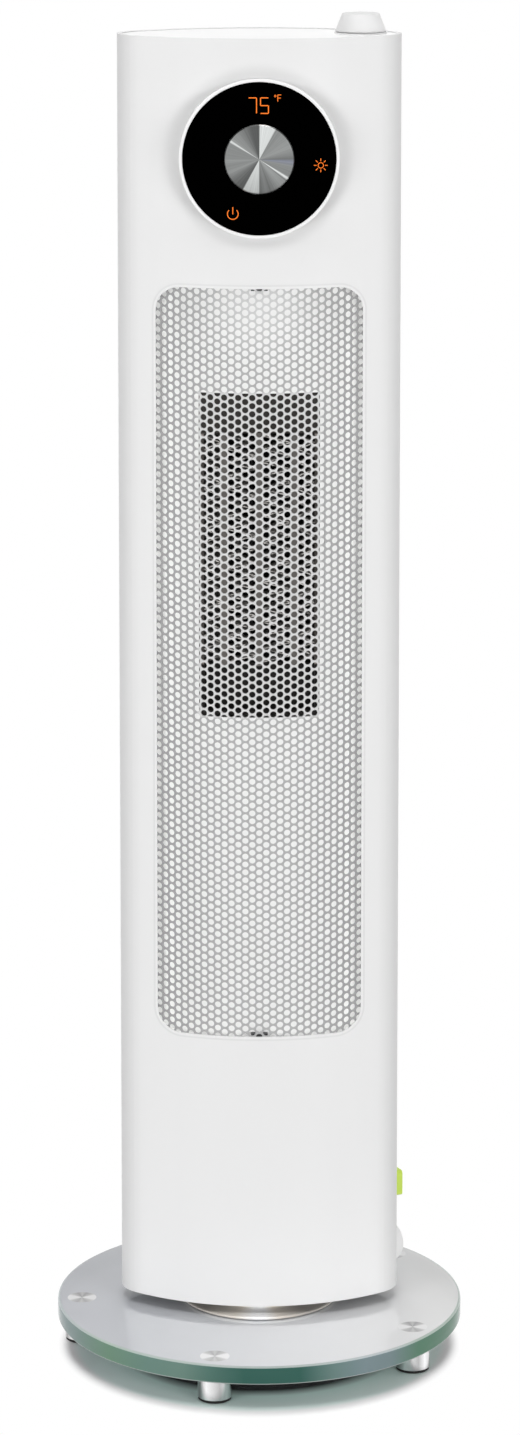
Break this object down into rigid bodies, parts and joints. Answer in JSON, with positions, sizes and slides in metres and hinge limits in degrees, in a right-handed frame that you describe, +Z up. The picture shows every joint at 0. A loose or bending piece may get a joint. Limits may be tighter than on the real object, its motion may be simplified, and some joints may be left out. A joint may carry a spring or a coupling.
{
  "type": "fan heater",
  "caption": "White upright ceramic fan heater with a perforated front grille, a round dial with lit temperature digits and a round glass base on metal feet",
  "frame": {"origin": "centre of the round base on the floor", "axes": "+Z up, the front faces -Y, +X is the viewer's right seen from the front"},
  "size_m": [0.22, 0.22, 0.7242],
  "materials": {
    "white_plastic": "semi_gloss",
    "guide_plastic": "matte",
    "duct_plastic": "matte",
    "grey_plastic": "satin",
    "dark_plastic": "matte",
    "lime_plastic": "gloss",
    "heater_holder": "satin",
    "grille_sheet": "satin",
    "spun_steel": "spun",
    "polished_chrome": "mirror",
    "screw_steel": "plain",
    "plated_steel": "zinc plated",
    "fin_aluminium": "bare",
    "brass_tabs": "bare",
    "bronze_bush": "sintered",
    "white_nylon": "matte",
    "white_ceramic": "matte",
    "black_rubber": "matte",
    "white_cable": "matte",
    "clear_glass": "clear",
    "black_lens": "gloss",
    "board_green": "satin",
    "board_blocks": "satin",
    "amber_leds": "lit"
  },
  "bodies": {
    "base": {"glass_base": "clear_glass", "foot_discs": "spun_steel", "foot_pucks": "polished_chrome", "foot_pads": "black_rubber", "base_gaskets": "black_rubber", "pedestal": "spun_steel", "hub_plate": "spun_steel", "hub_screws": "screw_steel", "thrust_washer": "white_nylon", "sector_gear": "white_nylon", "gear_screws": "screw_steel"},
    "cabinet": {"swivel_bush": "bronze_bush", "bottom_cover": "white_plastic", "front_shell": "white_plastic", "rear_shell": "white_plastic", "top_cover": "white_plastic", "shell_screws": "screw_steel", "cover_screws": "screw_steel", "inner_screws": "screw_steel", "front_grille": "grille_sheet", "grille_clips": "dark_plastic", "air_guide": "guide_plastic", "heater_frame": "heater_holder", "heater_fins": "fin_aluminium", "heater_strips": "white_ceramic", "heater_terminals": "brass_tabs", "thermal_cutout": "screw_steel", "thermal_fuse": "white_ceramic", "blower_housing": "duct_plastic", "blower_top_plate": "duct_plastic", "wheel_bush": "black_rubber", "blower_motor": "plated_steel", "motor_bracket": "plated_steel", "intake_screen": "dark_plastic", "dial_bezel": "white_plastic", "dial_lens": "black_lens", "knob_encoder": "dark_plastic", "display_board": "board_green", "display_leds": "amber_leds", "selector_switch": "dark_plastic", "selector_nut": "screw_steel", "power_switch": "dark_plastic", "cord_outlet": "white_plastic", "cord_gland": "grey_plastic", "power_board": "board_green", "board_parts": "board_blocks", "oscillation_motor": "plated_steel", "tilt_bracket": "duct_plastic", "tilt_switch": "dark_plastic", "pendulum_pin": "screw_steel", "wire_leads": "white_cable"},
    "swing_pinion": {"drive_pinion": "white_nylon"},
    "blower_rotor": {"blower_wheel": "dark_plastic", "motor_rotor": "screw_steel"},
    "dial": {"dial_knob": "spun_steel", "dial_spindle": "screw_steel"},
    "power_button": {"power_button": "lime_plastic"},
    "selector": {"selector_knob": "grey_plastic", "selector_shaft": "screw_steel"},
    "tilt_weight": {"tilt_pendulum": "brass_tabs"}
  },
  "joints": [
    {"name": "cabinet_swing", "type": "hinge", "parent": "base", "child": "cabinet", "pos_m": [0, 0, 0.033], "axis": [0, 0, 1], "range_deg": [-35, 35]},
    {"name": "pinion_spin", "type": "hinge", "parent": "cabinet", "child": "swing_pinion", "pos_m": [0.03012, 0, 0.049], "axis": [0, 0, 1], "range_deg": [-140, 140]},
    {"name": "blower_spin", "type": "hinge", "parent": "cabinet", "child": "blower_rotor", "pos_m": [0, 0.01, 0.433], "axis": [0, 0, 1], "continuous": true},
    {"name": "dial_turn", "type": "hinge", "parent": "cabinet", "child": "dial", "pos_m": [0, -0.04, 0.6516], "axis": [0, -1, 0], "continuous": true},
    {"name": "power_button_press", "type": "slide", "parent": "cabinet", "child": "power_button", "axis": [-0.9063, -0.4226, 0], "range_m": [0, 0.002], "stiffness_N_per_m": 600, "springref_m": -0.002},
    {"name": "selector_turn", "type": "hinge", "parent": "cabinet", "child": "selector", "pos_m": [0.0535, 0.004, 0.719], "axis": [0, 0, -1], "range_deg": [0, 270]},
    {"name": "tilt_swing", "type": "hinge", "parent": "cabinet", "child": "tilt_weight", "pos_m": [-0.048, 0, 0.0679], "axis": [0, 1, 0], "range_deg": [-22, 22]}
  ],
  "couplings": [
    {"joint": "pinion_spin", "follows": "cabinet_swing", "ratio": 4}
  ]
}
